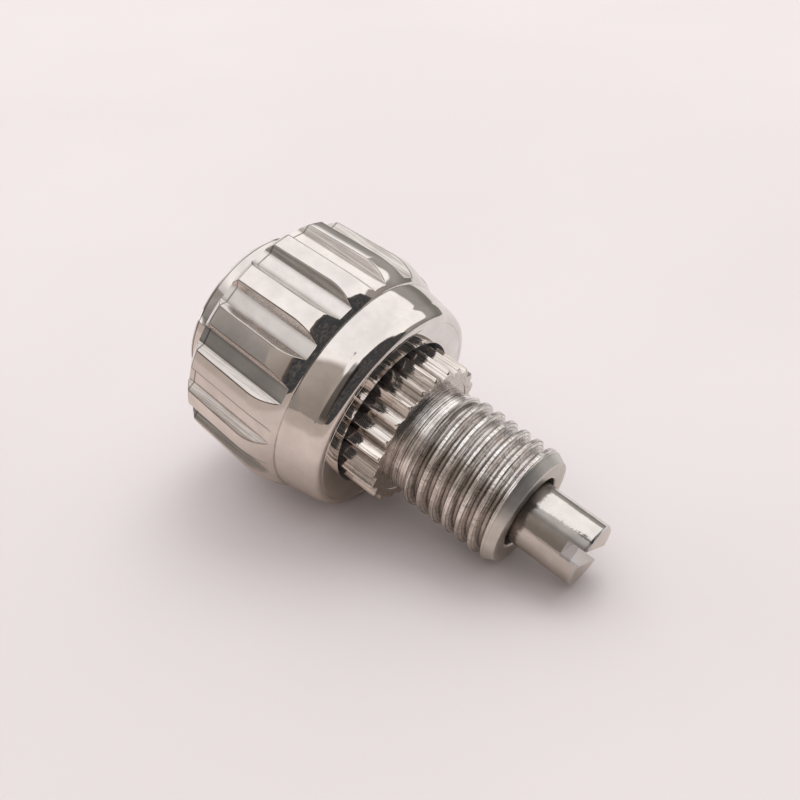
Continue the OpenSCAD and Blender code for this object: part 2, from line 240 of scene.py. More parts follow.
def collar_rows():
    """Rings of points along the collar's outside, each with all the flutes."""
    rows = []
    for x, outer_r in outer_profile():
        outline = flute_outline(outer_r, floor_at(x))
        row = []
        for flute in range(FLUTES):
            centre = FLUTE_PHASE + flute * 2 * math.pi / FLUTES
            for turn, r in outline:
                row.append((x, r * math.cos(centre + turn), r * math.sin(centre + turn)))
        rows.append(np.array(row))
    return rows


def build_collar():
    """Collar: fluted outside, lip round the button at the back end, and a plain bore."""
    rows = collar_rows()
    ang = np.arctan2(rows[-1][:, 2], rows[-1][:, 1])
    loop = [(COLLAR_OUT, r) for r in (2.58, 2.40, 2.22, LIP_R + 0.045)]
    loop += [(COLLAR_OUT - 0.008, LIP_R + 0.02), (COLLAR_OUT - 0.022, LIP_R + 0.006)]
    loop += [(x, LIP_R) for x in (COLLAR_OUT - 0.045, LIP_X + 0.30, LIP_X + 0.02)]
    loop += [(LIP_X, LIP_R + 0.02), (LIP_X, COLLAR_BORE - 0.02)]
    loop += [(x, COLLAR_BORE) for x in (LIP_X - 0.02, 3.0, 2.0, COLLAR_IN + 0.01)]
    loop.append((COLLAR_IN, COLLAR_BORE + 0.012))
    rows += [circle_row(x, r, ang) for x, r in loop]
    return finish_mesh(grid_mesh("collar_shell", rows, close=True), "collar_shell", "collar", sharp=24.0)


# The tube
PITCH, THREAD_ROOT, THREAD_CREST = 0.35, 1.21, 1.41
THREAD_X, THREAD_PHASE = -0.549, math.radians(66.7)
NECK_R, RUN_OUT_X = 1.27, -0.475
TUBE_END, CHAMFER_X, CHAMFER_R = -2.95, -2.69, 1.39
LAST_TURN_X = -2.60                # the thread fills up from here to the chamfer
STEM_BORE, WEB_IN, WEB_OUT, WEB_HOLE = 0.87, -0.75, -0.35, 0.47
CHAMBER_R, GLAND_R, GLAND_X = 1.00, 1.20, 2.10
BARREL_R, BARREL_END = 1.45, 3.30
LOCK_PITCH, LOCK_HEIGHT, LOCK_X = 0.25, 0.15, 1.30
LOCK_FROM, LOCK_TO = 1.24, 2.14
TUBE_SIDES, LOCK_RINGS, THREAD_RINGS, CHAMFER_RINGS = 216, 74, 262, 30


def smooth(t):
    """0 below 0, 1 above 1 and an even bend between."""
    t = np.clip(t, 0, 1)
    return t * t * (3 - 2 * t)


def from_crest(x, ang, pitch, crest_x, phase):
    """Distance along the axis from a thread's nearest crest."""
    u = ((x - crest_x) / pitch - (ang - phase) / (2 * math.pi)) % 1.0
    return np.abs(np.where(u > 0.5, 1 - u, u)) * pitch


def thread_radius(x, ang):
    """Radius of the case thread at x and angle: straight flanks, rounded crests and roots."""
    flat, foot, edge = 0.030, 0.150, 0.16
    t = np.clip((from_crest(x, ang, PITCH, THREAD_X, THREAD_PHASE) - flat) / (foot - flat), 0, 1)
    height = np.where(t > 1 - edge, (1 - t) ** 2 / (2 * edge), 1 - t + edge / 2)
    height = np.where(t < edge, 1 - t * t / (2 * edge), height)
    height = np.clip(height / (1 + edge / 2), 0, 1)
    return THREAD_ROOT + (THREAD_CREST - THREAD_ROOT) * height


def case_thread_row(x, ang):
    """One ring of the case thread, with its run-out at the neck and its chamfered end."""
    highest = NECK_R + 1.3 * max(0.0, RUN_OUT_X - x)
    lowest = NECK_R - 0.75 * max(0.0, RUN_OUT_X - 0.01 - x) if x > -0.62 else 0.0
    r = np.maximum(np.minimum(thread_radius(x, ang), highest), lowest)
    if x < LAST_TURN_X:
        fill = smooth((LAST_TURN_X - x) / 0.10)
        cone = CHAMFER_R - 0.5 * (CHAMFER_X - x) if x < CHAMFER_X else THREAD_CREST
        r = np.minimum(np.maximum(r, THREAD_ROOT + (CHAMFER_R - THREAD_ROOT) * fill), cone)
    if x <= TUBE_END + 0.01:
        r = NECK_R - 0.005
    return circle_row(max(x, TUBE_END + 0.005), r, ang)


def build_tube():
    """Tube: bore, web and chamber inside, locking thread on the barrel, neck, and case thread."""
    ang = angles(TUBE_SIDES)
    # inside, from the mouth of the stem's bore to the barrel's end
    inside = [(TUBE_END + 0.01, STEM_BORE + 0.015), (TUBE_END + 0.025, STEM_BORE + 0.002)]
    inside += [(x, STEM_BORE) for x in (TUBE_END + 0.05, -2.2, -1.4, WEB_IN)]
    inside += [(WEB_IN, WEB_HOLE), (WEB_OUT, WEB_HOLE), (WEB_OUT, CHAMBER_R), (0.8, CHAMBER_R)]
    inside += [(GLAND_X, CHAMBER_R), (GLAND_X, GLAND_R), (BARREL_END - 0.01, GLAND_R)]
    inside += [(BARREL_END, GLAND_R + 0.01), (BARREL_END, BARREL_R - 0.06)]
    inside += [(BARREL_END - 0.01, BARREL_R - 0.03), (BARREL_END - 0.05, BARREL_R)]
    rows = [circle_row(x, r, ang) for x, r in inside]
    # locking thread on the barrel
    for x in np.linspace(LOCK_TO + 0.02, LOCK_FROM, LOCK_RINGS):
        t = np.clip((from_crest(x, ang, LOCK_PITCH, LOCK_X, 0.0) - 0.02) / 0.085, 0, 1)
        fade = smooth((x - LOCK_FROM) / 0.06) * smooth((LOCK_TO - x) / 0.08)
        rows.append(circle_row(x, BARREL_R + LOCK_HEIGHT * (1 - t) * fade, ang))
    # under the flange, then the neck with a fine groove
    neck = [(1.16, BARREL_R), (1.10, BARREL_R), (0.6, 1.4), (0.06, 1.35), (0.05, 1.30)]
    neck.append((0.022, NECK_R + 0.002))
    neck += [(x, NECK_R) for x in (0.018, 0.0, -0.03, -0.07, -0.09, -0.097)]
    neck += [(-0.101, NECK_R - 0.006), (-0.107, NECK_R - 0.0065), (-0.112, NECK_R - 0.001)]
    neck += [(x, NECK_R) for x in (-0.16, -0.30, -0.42)]
    rows += [circle_row(x, r, ang) for x, r in neck]
    # case thread and the tube's end face
    rows += [case_thread_row(x, ang) for x in np.linspace(-0.45, CHAMFER_X, THREAD_RINGS)]
    rows += [case_thread_row(x, ang) for x in np.linspace(CHAMFER_X - 0.005, TUBE_END, CHAMFER_RINGS)]
    rows += [circle_row(TUBE_END, r, ang) for r in (1.25, 1.10, 0.98, 0.90)]
    return finish_mesh(grid_mesh("tube_body", rows, close=True), "tube_body", "case", sharp=40.0)


# The toothed flange
TEETH, CREST_R, ROOT_R, FLANGE_W = 24, 1.76, 1.60, 1.15
TEETH_PHASE = math.radians(11.5)
TOOTH_ROUND, SHORTEST_FLANK = 0.010, 0.1
SEAT_RELIEF_R = 1.45


def tooth_outline():
    """Flat points round the flange: short curves at the crests and roots, straight flanks between."""
    step = 2 * math.pi / TEETH
    crest, root = math.radians(0.30), math.radians(0.6)
    tooth = ((-crest, CREST_R), (crest, CREST_R), (step / 2 - root, ROOT_R), (step / 2 + root, ROOT_R))
    corners = []
    for i in range(TEETH):
        for a, r in tooth:
            turn = TEETH_PHASE + i * step + a
            corners.append(np.array((r * math.cos(turn), r * math.sin(turn))))
    outline = []
    for i, corner in enumerate(corners):
        following = corners[(i + 1) % len(corners)]
        start = towards(corner, corners[i - 1], TOOTH_ROUND, 0.48)
        end = towards(corner, following, TOOTH_ROUND, 0.48)
        outline += [curve(start, corner, end, t) for t in (0.0, 0.5, 1.0)]
        if np.linalg.norm(following - corner) > SHORTEST_FLANK:
            flank_end = towards(following, corner, TOOTH_ROUND, 0.48)
            outline += [end + (flank_end - end) * t for t in (0.33, 0.66)]
    return np.array(outline)


def build_flange():
    """Flange: the teeth's outline cut down at both ends, and a shallow relief in the seat."""
    outline = tooth_outline()
    r, ang = np.hypot(outline[:, 0], outline[:, 1]), np.arctan2(outline[:, 1], outline[:, 0])
    bevel = ((0.0, 0.053), (0.006, 0.041), (0.02, 0.022), (0.034, 0.008), (0.05, 0.0))
    cuts = [(0.02, 1.26), (0.02, SEAT_RELIEF_R - 0.02), (0.018, SEAT_RELIEF_R - 0.002)]
    cuts += [(0.002, SEAT_RELIEF_R + 0.002), (0.0, SEAT_RELIEF_R + 0.015)]
    cuts += [(x, CREST_R - drop) for x, drop in bevel]
    cuts += [(x, CREST_R) for x in (0.2, 0.5, 0.8)]
    cuts += [(FLANGE_W - x, CREST_R - drop) for x, drop in reversed(bevel)]
    cuts += [(FLANGE_W, 1.55), (FLANGE_W, 1.42)]
    rows = [circle_row(x, np.minimum(r, cut), ang) for x, cut in cuts]
    return finish_mesh(grid_mesh("tube_flange", rows, close=True), "tube_flange", "case", sharp=22.0)


# The stem
STEM_R, STEM_END, STEM_FOOT, STEM_SIDES = 0.75, -4.53, -0.87, 120
PLUNGER_R, PLUNGER_END = 0.42, 3.75
STEM_CHAMFER, STEM_ROUND = (0.05, 0.045), 0.012
SLOT_W, SLOT_D, SLOT_TURN = 0.38, 0.43, math.radians(32.7)


def rounded_triangle(corners, distance, steps):
    """Points round a triangle whose corners are rounded, beginning at its first corner."""
    points = []
    for i, corner in enumerate(corners):
        start = towards(corner, corners[i - 1], distance, 0.45)
        end = towards(corner, corners[(i + 1) % 3], distance, 0.45)
        points += [curve(start, corner, end, step / steps) for step in range(steps + 1)]
    return points


def link_new(bm, name):
    """Linked object from a bmesh, which is freed."""
    bmesh.ops.recalc_face_normals(bm, faces=bm.faces)
    mesh = bpy.data.meshes.new(name)
    bm.to_mesh(mesh)
    bm.free()
    ob = bpy.data.objects.new(name, mesh)
    scene.collection.objects.link(ob)
    return ob


def turned_blank(profile, sides):
    """Profile turned round the axis, in millimetres. Its first and last points lie on the axis."""
    bm = bmesh.new()
    rings = []
    for x, r in profile:
        turns = angles(sides) if r > 0 else (0.0,)
        rings.append([bm.verts.new((x, r * math.cos(a), r * math.sin(a))) for a in turns])
    for near, far in zip(rings, rings[1:]):
        for j in range(sides):
            k = (j + 1) % sides
            corners = (near[j % len(near)], near[k % len(near)], far[k % len(far)], far[j % len(far)])
            bm.faces.new(list(dict.fromkeys(corners)))  # three corners where a ring is the point on the axis
    return bm


def slot_cutter():
    """Box that takes the screwdriver slot out of the stem's end."""
    beyond, length = 0.6, 4.0
    bm = bmesh.new()
    bmesh.ops.create_cube(bm, size=1.0)
    for v in bm.verts:
        x = STEM_END - beyond + (v.co.x + 0.5) * (SLOT_D + beyond)
        u, w = v.co.y * length, v.co.z * SLOT_W
        y = u * math.cos(SLOT_TURN) - w * math.sin(SLOT_TURN)
        z = u * math.sin(SLOT_TURN) + w * math.cos(SLOT_TURN)
        v.co = Vector((x, y, z))
    return link_new(bm, "slot_cut")


def build_stem():
    """Stem with a chamfered, slotted end and its thinner part inside the tube."""
    chamfer_x, chamfer_r = STEM_CHAMFER
    face_middle, face_edge = np.array((STEM_END, 0.0)), np.array((STEM_END, STEM_R - chamfer_r))
    side_edge, side_end = np.array((STEM_END + chamfer_x, STEM_R)), np.array((STEM_FOOT, STEM_R))
    profile = [face_middle]
    # both triangles have the chamfer as a side, so the profile goes along it, back and along it again
    for corners in ((face_middle, face_edge, side_edge), (face_edge, side_edge, side_end)):
        profile += rounded_triangle(corners, STEM_ROUND, 3)[1:-1]
    profile += [side_end, (STEM_FOOT, PLUNGER_R), (PLUNGER_END, PLUNGER_R), (PLUNGER_END, 0.0)]
    blank = link_new(turned_blank(profile, STEM_SIDES), "stem_blank")
    cutter = slot_cutter()
    cut = blank.modifiers.new("slot", "BOOLEAN")
    cut.operation = "DIFFERENCE"
    cut.solver = "EXACT"
    cut.object = cutter
    bevel = blank.modifiers.new("edge", "BEVEL")
    bevel.width = STEM_ROUND
    bevel.segments = 2
    bevel.limit_method = "ANGLE"
    bevel.angle_limit = math.radians(40)
    bpy.context.view_layer.update()
    shape = blank.evaluated_get(bpy.context.evaluated_depsgraph_get())
    mesh = bpy.data.meshes.new_from_object(shape)
    bpy.data.objects.remove(blank)
    bpy.data.objects.remove(cutter)
    mesh.transform(Matrix.Scale(MM, 4))
    mesh.name = "stem_screw"
    return finish_mesh(mesh, "stem_screw", "push", sharp=30.0)


# The button and the threaded ring
BUTTON_R, BUTTON_EDGE, BUTTON_DOME = 1.98, 5.33, 0.12
SKIRT_X, SKIRT_IN, SKIRT_OUT, SKIRT_STEP = 3.60, 1.62, 2.28, 3.88
SOCKET_X, SOCKET_R, SOCKET_END = 4.30, 0.60, 4.95
MOUTH_R, MOUTH_END, LOCK_BORE, LOCK_BORE_X, LOCK_RING_END = 1.84, 2.45, 1.66, 2.55, 3.38


def build_button():
    """Button: skirt inside the collar, rounded rim, domed face, and a socket for the plunger."""
    rim = ((-0.07, 0.0), (-0.03, 0.008), (-0.008, 0.028), (0.002, 0.052))
    outline = [(SKIRT_X, SKIRT_IN), (SKIRT_X, SKIRT_OUT), (SKIRT_STEP, SKIRT_OUT)]
    outline += [(x, BUTTON_R) for x in (SKIRT_STEP, 4.2, 4.9)]
    outline += [(BUTTON_EDGE + dx, BUTTON_R - drop) for dx, drop in rim]
    for t in np.linspace(0.04, 1, 26):
        outline.append((BUTTON_EDGE + BUTTON_DOME * (1 - (1 - t) ** 2), (BUTTON_R - 0.06) * (1 - t)))
    outline += [(5.0, 0.0), (SOCKET_END, 0.0), (SOCKET_END, SOCKET_R)]
    outline += [(SOCKET_X, SOCKET_R), (SOCKET_X, SKIRT_IN)]
    return ring_solid("button_shell", outline, "push")


def build_thread_ring():
    """Threaded ring: mouth over the flange at the collar's base, and the locking bore behind it."""
    outline = [(COLLAR_IN, MOUTH_R + 0.022), (COLLAR_IN, COLLAR_BORE - 0.012)]
    outline += [(COLLAR_IN + 0.01, COLLAR_BORE), (LOCK_RING_END, COLLAR_BORE)]
    outline += [(LOCK_RING_END, LOCK_BORE), (LOCK_BORE_X, LOCK_BORE)]
    outline += [(x, MOUTH_R) for x in (MOUTH_END, 1.6, COLLAR_IN + 0.025)]
    outline.append((COLLAR_IN + 0.007, MOUTH_R + 0.006))
    return ring_solid("ring_shell", outline, "collar")


# The spring
WIRE_R, COIL_TURNS, COIL_GAP = 0.11, 5, 0.01
WIRE_SIDES, RINGS_PER_TURN = 12, 32


def build_spring():
    """Coil between the tube's web and the plunger."""
    lo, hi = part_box("return_spring")
    first, last = lo.x / MM + WIRE_R, hi.x / MM - WIRE_R
    mean_r = hi.y / MM - WIRE_R
    wire = angles(WIRE_SIDES)
    rows = []
    steps = COIL_TURNS * RINGS_PER_TURN
    for i in range(steps + 1):
        a = 2 * math.pi * i / RINGS_PER_TURN
        x = first + (last - first) * i / steps
        r = mean_r + WIRE_R * np.sin(wire)
        rows.append(np.stack([x - WIRE_R * np.cos(wire), r * math.cos(a), r * math.sin(a)], axis=1))
    # a whole number of turns ends where it starts; rings that shrink to a point close the wire's ends
    start, end = (np.broadcast_to((x, mean_r, 0.0), (WIRE_SIDES, 3)) for x in (first, last))
    rows = [start, *rows, end]
    ob = finish_mesh(grid_mesh("spring_coil", rows), "spring_coil", "case", sharp=50.0)
    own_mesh(ob)
    return ob


# The pieces, and the CAD nodes they stand for, which are hidden
collar = build_collar()
tube = build_tube()
flange = build_flange()
stem = build_stem()
button = build_button()
ring = build_thread_ring()
spring = build_spring()
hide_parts("return_spring")
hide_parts("locking_collar")
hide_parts("case_tube")
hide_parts("stem")
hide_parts("button_cap")
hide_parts("thread_ring")


# Shader nodes
class Nodes:
    """Makes shader nodes in a tree and links them. A value is a socket or a number."""

    def __init__(self, tree):
        self.tree = tree

    def new(self, kind, **values):
        node = self.tree.nodes.new(kind)
        for name, value in values.items():
            setattr(node, name, value)
        return node

    def put(self, socket, value):
        if isinstance(value, bpy.types.NodeSocket):
            self.tree.links.new(value, socket)
        else:
            socket.default_value = value

    def math(self, operation, *values):
        node = self.new("ShaderNodeMath", operation=operation)
        for socket, value in zip(node.inputs, values):
            self.put(socket, value)
        return node.outputs[0]

    def times(self, value, *others):
        """Product of all values."""
        for other in others:
            value = self.math("MULTIPLY", value, other)
        return value

    def plus(self, value, *others):
        """Sum of all values."""
        for other in others:
            value = self.math("ADD", value, other)
        return value

    def weighted(self, *pairs):
        """Sum of values, each times its weight."""
        return self.plus(*[self.times(value, weight) for value, weight in pairs])

    def shaken(self, value, noise, amount):
        """A value moved to both sides by a noise."""
        return self.math("MULTIPLY_ADD", self.math("SUBTRACT", noise, 0.5), amount, value)

    def vector(self, operation, a, b):
        node = self.new("ShaderNodeVectorMath", operation=operation)
        self.put(node.inputs[0], a)
        self.put(node.inputs[1], b)
        return node.outputs["Value"] if operation == "DOT_PRODUCT" else node.outputs["Vector"]

    def dot(self, a, b):
        return self.vector("DOT_PRODUCT", a, b)

    def parts(self, vector):
        """The x, y and z of a vector."""
        node = self.new("ShaderNodeSeparateXYZ")
        self.put(node.inputs[0], vector)
        return node.outputs[0], node.outputs[1], node.outputs[2]

    def joined(self, x, y, z=0.0):
        """Vector from its x, y and z."""
        node = self.new("ShaderNodeCombineXYZ")
        for socket, value in zip(node.inputs, (x, y, z)):
            self.put(socket, value)
        return node.outputs[0]

    def spread(self, shape, value, start, end, low, high):
        node = self.new("ShaderNodeMapRange", interpolation_type=shape, clamp=True)
        sockets = ("Value", "From Min", "From Max", "To Min", "To Max")
        for socket, number in zip(sockets, (value, start, end, low, high)):
            self.put(node.inputs[socket], number)
        return node.outputs["Result"]

    def ramp(self, value, start, end, low=0.0, high=1.0):
        """Smooth change from low at start to high at end."""
        return self.spread("SMOOTHSTEP", value, start, end, low, high)

    def line(self, value, start, end, low=0.0, high=1.0):
        """Straight change from low at start to high at end."""
        return self.spread("LINEAR", value, start, end, low, high)

    def band(self, value, start, full, fall, end):
        """1 between full and fall, sinking smoothly to 0 at start and at end."""
        return self.times(self.ramp(value, start, full), self.ramp(value, fall, end, 1.0, 0.0))

    def mix(self, factor, a, b):
        """Colour a where factor is 0 and colour b where it is 1."""
        node = self.new("ShaderNodeMix", data_type="RGBA", blend_type="MIX")
        self.put(node.inputs["Factor"], factor)
        for socket, colour in ((node.inputs[6], a), (node.inputs[7], b)):
            self.put(socket, colour if isinstance(colour, bpy.types.NodeSocket) else (*colour, 1.0))
        return node.outputs[2]

    def scaled(self, vector, factor):
        node = self.new("ShaderNodeVectorMath", operation="SCALE")
        self.put(node.inputs[0], vector)
        self.put(node.inputs["Scale"], factor)
        return node.outputs[0]

    def noise(self, vector, scale, detail=3.0, rough=0.5, distortion=0.0):
        node = self.new("ShaderNodeTexNoise")
        sockets = ("Vector", "Scale", "Detail", "Roughness", "Distortion")
        for socket, value in zip(sockets, (vector, scale, detail, rough, distortion)):
            self.put(node.inputs[socket], value)
        return node.outputs["Fac"]

    def stretched(self, vector, scale, detail, rough, shift=(0, 0, 0)):
        """Noise with its own scale along each axis."""
        node = self.new("ShaderNodeMapping")
        for socket, value in (("Vector", vector), ("Scale", scale), ("Location", shift)):
            self.put(node.inputs[socket], value)
        return self.noise(node.outputs[0], 1.0, detail, rough)

    def bump(self, height, distance, strength):
        node = self.new("ShaderNodeBump")
        for socket, value in (("Height", height), ("Distance", distance), ("Strength", strength)):
            self.put(node.inputs[socket], value)
        return node.outputs[0]

    def place(self):
        """Position in millimetres."""
        return self.scaled(self.new("ShaderNodeTexCoord").outputs["Object"], 1 / MM)

    def normal(self):
        return self.new("ShaderNodeTexCoord").outputs["Normal"]

    def ray(self, kind):
        return self.new("ShaderNodeLightPath").outputs[kind]

    def from_axis(self, y, z):
        """Distance from the pusher's axis."""
        return self.math("SQRT", self.plus(self.math("POWER", y, 2.0), self.math("POWER", z, 2.0)))

    def turn(self, y, z):
        """Angle round the pusher's axis in degrees, from +Y towards +Z."""
        return self.times(self.math("ARCTAN2", z, y), TO_DEGREES)


def material(name):
    """New material, with its nodes and its principled shader."""
    mat = bpy.data.materials.new(name)
    mat.use_nodes = True
    shader = next(node for node in mat.node_tree.nodes if node.type == "BSDF_PRINCIPLED")
    return mat, Nodes(mat.node_tree), shader


def surface_of(mat):
    """The socket that takes a material's surface."""
    return next(node for node in mat.node_tree.nodes if node.type == "OUTPUT_MATERIAL").inputs["Surface"]


def dress(ob, mat):
    ob.data.materials.clear()
    ob.data.materials.append(mat)


# Polished steel, for the collar, the button and the threaded ring
# dark colour of the painted shade lines along the collar's edges
EDGE_SHADE_TINT = (0.22, 0.20, 0.185)
BORE_TINT = (0.50, 0.53, 0.58)
# where the painted dark reflection lies on the ring: angles round the axis and places along it
RING_SHADE_TURN, RING_SHADE_X = (22.0, 27.0, 54.0, 58.0), (1.09, 1.13, 1.24, 1.28)


def polished():
    """Polished steel; the walls of the flutes are left with the cutter's fine lines."""
    mat, n, shader = material("polished_steel")
    pos = n.place()
    x, y, z = n.parts(pos)
    rad = n.from_axis(y, z)
    cloud = n.noise(pos, 1.1, 3.0, 0.6)
    fine = n.noise(pos, 9.0, 2.0, 0.6)
    mottle = n.noise(pos, 1.9, 4.0, 0.65)
    waves = n.noise(pos, 0.52, 3.0, 0.55)
    ripple = n.noise(pos, 2.6, 2.0, 0.5)
    drag = n.stretched(pos, (0.5, 7.0, 7.0), 2.0, 0.5)
    lines = n.stretched(pos, (0.42, 16.0, 16.0), 3.0, 0.6)
    # sideways lean of the surface: 0 on crests and floors, high on the walls of the flutes
    normal = n.parts(n.normal())
    lean = n.math("SUBTRACT", n.times(normal[2], y), n.times(normal[1], z))
    lean = n.math("ABSOLUTE", n.math("DIVIDE", lean, rad))
    wall = n.ramp(lean, 0.35, 0.62)
    # painted shade: a thin dark line along the rounded edges between the ridges and the flutes' walls
    wall_edge_shade = n.times(n.band(lean, 0.03, 0.10, 0.46, 0.60), n.ramp(cloud, 0.30, 0.60, 0.6, 1.0))
    tint = n.mix(n.ramp(cloud, 0.35, 0.7), (0.740, 0.710, 0.693), (0.790, 0.762, 0.748))
    scored = n.mix(n.ramp(lines, 0.38, 0.62), (0.52, 0.485, 0.46), (0.72, 0.685, 0.665))
    tint = n.mix(wall, tint, scored)
    tint = n.mix(wall_edge_shade, tint, EDGE_SHADE_TINT)
    tint = n.scaled(tint, n.ramp(mottle, 0.30, 0.70, 0.93, 1.05))
    # the bore is left dull, and the narrow bevel round its mouth is the brightest polish
    bore = n.times(n.ramp(rad, COLLAR_BORE + 0.002, COLLAR_BORE + 0.008, 1.0, 0.0),
                   n.band(x, COLLAR_IN + 0.02, COLLAR_IN + 0.05, LIP_X - 0.04, LIP_X))
    lip = n.times(n.ramp(rad, COLLAR_BORE + 0.11, COLLAR_BORE + 0.12, 1.0, 0.0),
                  n.ramp(x, COLLAR_IN + 0.02, COLLAR_IN + 0.04, 1.0, 0.0))
    # a painted dark reflection along the ring's lower edge
    turn = n.shaken(n.turn(y, z), mottle, 3.0)
    ring_shade = n.times(n.band(turn, *RING_SHADE_TURN), n.band(x, *RING_SHADE_X))
    tint = n.scaled(tint, n.ramp(ring_shade, 0.0, 1.0, 1.0, 0.32))
    # thin painted shade lines where the flutes' ridges meet the back chamfer, and just inside the button's
    # edge
    back_x, rim_x = COLLAR_OUT - BACK_CHAMFER, BUTTON_EDGE - 0.07
    back_line = n.times(n.band(x, back_x - 0.030, back_x - 0.014, back_x + 0.008, back_x + 0.024),
                        n.ramp(rad, 2.64, 2.66))
    rim_line = n.times(n.band(x, rim_x - 0.028, rim_x - 0.015, rim_x + 0.008, rim_x + 0.021),
                       n.ramp(rad, BUTTON_R - 0.03, BUTTON_R - 0.01))
    edge_shade_line = n.times(n.math("MAXIMUM", back_line, rim_line), n.ramp(cloud, 0.30, 0.60, 0.6, 0.9))
    tint = n.mix(edge_shade_line, tint, EDGE_SHADE_TINT)
    n.put(shader.inputs["Base Color"], n.mix(bore, tint, BORE_TINT))
    n.put(shader.inputs["Metallic"], n.ramp(bore, 0.0, 1.0, 1.0, 0.3))
    rough = n.plus(n.ramp(cloud, 0.3, 0.75, 0.030, 0.075), n.times(fine, 0.02), n.times(wall, 0.17))
    rough = n.times(rough, n.ramp(lip, 0.0, 1.0, 1.0, 0.15))
    n.put(shader.inputs["Roughness"], n.plus(rough, n.times(bore, 0.45)))
    height = n.weighted((drag, 0.10), (waves, 1.6), (ripple, 0.12), (n.times(lines, wall), 0.8))
    height = n.times(height, n.ramp(lip, 0.0, 1.0, 1.0, 0.0))
    n.put(shader.inputs["Normal"], n.bump(height, 4 * MICRON, 0.7))
    return mat


# Milled steel, for the flange's teeth
def tooth_steel():
    """Bright milled teeth with painted shade in their roots."""
    mat, n, shader = material("tooth_steel")
    pos = n.place()
    x, y, z = n.parts(pos)
    cloud = n.noise(pos, 3.2, 3.0, 0.6)
    streak = n.stretched(pos, (0.6, 13.0, 13.0), 3.0, 0.6)
    hair = n.stretched(pos, (0.3, 30.0, 30.0), 2.0, 0.5)
    # painted shade: the roots between the teeth are darker, less so at the seat's end
    unshaded = n.ramp(n.shaken(n.from_axis(y, z), cloud, 0.07), ROOT_R - 0.01, ROOT_R + 0.05)
    unshaded = n.math("MAXIMUM", unshaded, n.ramp(x, 0.02, 0.04, 0.75, 0.0))
    tint = n.mix(n.ramp(streak, 0.38, 0.58), (0.58, 0.53, 0.49), (0.86, 0.82, 0.79))
    tint = n.scaled(tint, n.ramp(hair, 0.40, 0.52, 0.72, 1.0))
    n.put(shader.inputs["Base Color"], n.mix(unshaded, (0.30, 0.26, 0.235), tint))
    n.put(shader.inputs["Metallic"], 1.0)
    rough = n.plus(n.ramp(unshaded, 0.0, 1.0, 0.24, 0.06), n.ramp(cloud, 0.4, 0.7, 0.0, 0.05))
    n.put(shader.inputs["Roughness"], rough)
    n.put(shader.inputs["Normal"], n.bump(n.weighted((cloud, 1.2), (streak, 0.9)), 7 * MICRON, 0.9))
    return mat


# Turned steel, for the tube
THREAD_ROOT_SHADE_X, UPPER_TURN = (-2.72, -2.62, -0.52, -0.46), (38.0, 58.0, 150.0, 170.0)
THREADED_X, NECK_X = (-2.68, -2.62, -0.62, -0.52), (-0.72, -0.60, -0.04, -0.02)
TORN_RADII = ((1.362, 1.374, 1.388), (1.296, 1.308, 1.322))


